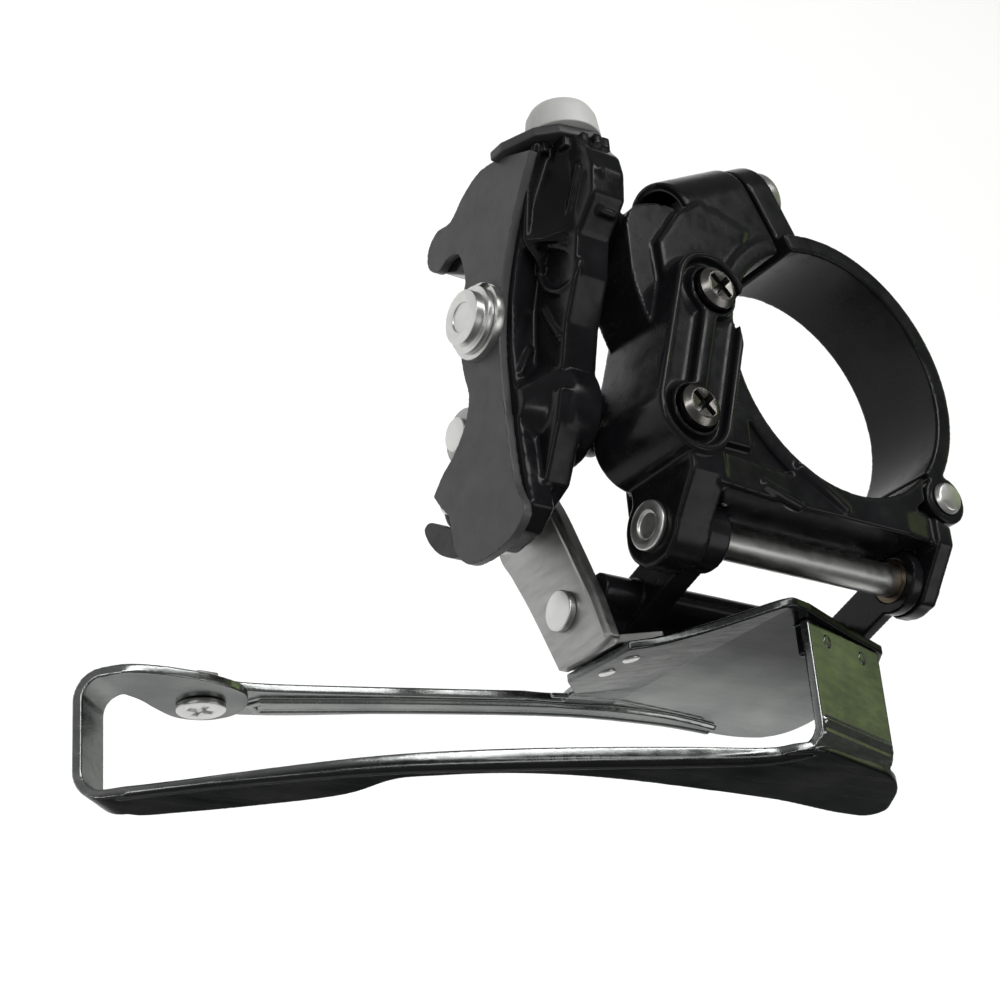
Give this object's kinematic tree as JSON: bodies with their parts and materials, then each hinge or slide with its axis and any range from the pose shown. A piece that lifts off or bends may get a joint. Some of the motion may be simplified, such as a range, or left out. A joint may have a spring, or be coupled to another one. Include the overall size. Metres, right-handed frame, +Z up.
{
  "type": "front derailleur",
  "caption": "Bicycle front derailleur: hinged band clamp, parallel swing links driven by a cable arm, and a sheet steel chain cage.",
  "frame": {"origin": "on the seat tube axis, at mid height of the clamp band", "axes": "+X forward, +Y to the left of the bicycle, +Z up along the seat tube"},
  "size_m": [0.1007, 0.0847, 0.0636],
  "materials": {
    "black_paint": "semi-gloss black paint over die cast aluminium",
    "satin_grey": "satin dark grey paint",
    "grey_plastic": "matte light grey moulding",
    "black_plastic": "matte black moulding",
    "nylon": "white nylon",
    "bronze": "sintered bronze",
    "black_steel": "black oxide",
    "fastener_steel": "bright zinc plate",
    "galvanised_steel": "dull zinc plate",
    "chrome_sheet": "chromed sheet steel with brushed marks"
  },
  "bodies": {
    "root": {"body": "black_paint", "clamp_hinge_pin": "fastener_steel", "clamp_nut": "galvanised_steel", "limit_screw_inserts": "nylon", "inner_link_pin": "fastener_steel", "inner_link_clip": "black_steel", "arm_pivot_pin": "fastener_steel"},
    "clamp_band": {"clamp_band": "black_paint"},
    "clamp_bolt": {"clamp_bolt": "fastener_steel"},
    "low_screw": {"low_limit_screw": "black_steel"},
    "high_screw": {"high_limit_screw": "black_steel"},
    "inner_link": {"inner_link": "black_paint", "inner_link_bushes": "bronze"},
    "cage": {"cage_inner_plate": "chrome_sheet", "cage_outer_plate": "chrome_sheet", "cage_rear_bracket": "galvanised_steel", "cage_pivot_pin": "fastener_steel", "cage_pivot_clip": "black_steel", "arm_cage_pin": "fastener_steel", "arm_cage_spacer": "bronze", "bracket_rivets": "fastener_steel", "bridge_rivets": "fastener_steel", "tail_nut": "galvanised_steel"},
    "arm": {"cable_arm": "black_paint", "arm_face_plate": "satin_grey", "arm_end_cover": "satin_grey", "arm_end_cap": "grey_plastic", "arm_pivot_bush": "bronze", "arm_pivot_cover": "black_plastic", "return_spring": "fastener_steel", "cable_anchor_washer": "fastener_steel", "cable_guide": "black_plastic", "guide_rivet": "fastener_steel", "guide_washer": "galvanised_steel"},
    "anchor_bolt": {"cable_anchor_bolt": "fastener_steel"},
    "tail_screw": {"tail_screw": "fastener_steel"}
  },
  "joints": [
    {"name": "link_swing", "type": "hinge", "parent": "root", "child": "inner_link", "pos_m": [0, -0.0243, -0.0012], "axis": [-1, 0, 0], "range_deg": [0, 45], "stiffness_Nm_per_rad": 0.05, "springref_deg": -20.05},
    {"name": "cage_level", "type": "hinge", "parent": "inner_link", "child": "cage", "pos_m": [0, -0.02962, -0.01682], "axis": [-1, 0, 0], "range_deg": [-45, 0]},
    {"name": "arm_swing", "type": "hinge", "parent": "root", "child": "arm", "pos_m": [0, -0.0082, -0.0076], "axis": [-1, 0, 0], "range_deg": [0, 45]},
    {"name": "clamp_band_open", "type": "hinge", "parent": "root", "child": "clamp_band", "pos_m": [0.01594, -0.01487, 0], "axis": [0, 0, -1], "range_deg": [0, 2]},
    {"name": "clamp_bolt_unscrew", "type": "slide", "parent": "root", "child": "clamp_bolt", "axis": [0.891, 0.454, 0], "range_m": [0, 0.002]},
    {"name": "low_screw_turn", "type": "hinge", "parent": "root", "child": "low_screw", "pos_m": [-0.0219, 0.0047, 0.0085], "axis": [0, 0, 1], "range_deg": [-360, 360]},
    {"name": "high_screw_turn", "type": "hinge", "parent": "root", "child": "high_screw", "pos_m": [-0.0272, -0.0129, 0.0085], "axis": [0, 0, 1], "range_deg": [-360, 360]},
    {"name": "anchor_bolt_turn", "type": "hinge", "parent": "arm", "child": "anchor_bolt", "pos_m": [-0.0445, 0.0046, -0.0109], "axis": [1, 0, 0], "range_deg": [-360, 360]},
    {"name": "tail_screw_turn", "type": "hinge", "parent": "cage", "child": "tail_screw", "pos_m": [-0.0634, -0.036, -0.0488], "axis": [0, 1, 0], "range_deg": [-360, 360]}
  ],
  "couplings": [
    {"joint": "cage_level", "follows": "link_swing", "ratio": -1},
    {"joint": "arm_swing", "follows": "link_swing", "ratio": 1},
    {"joint": "clamp_bolt_unscrew", "follows": "clamp_band_open", "m_per_rad": 0.0558}
  ]
}
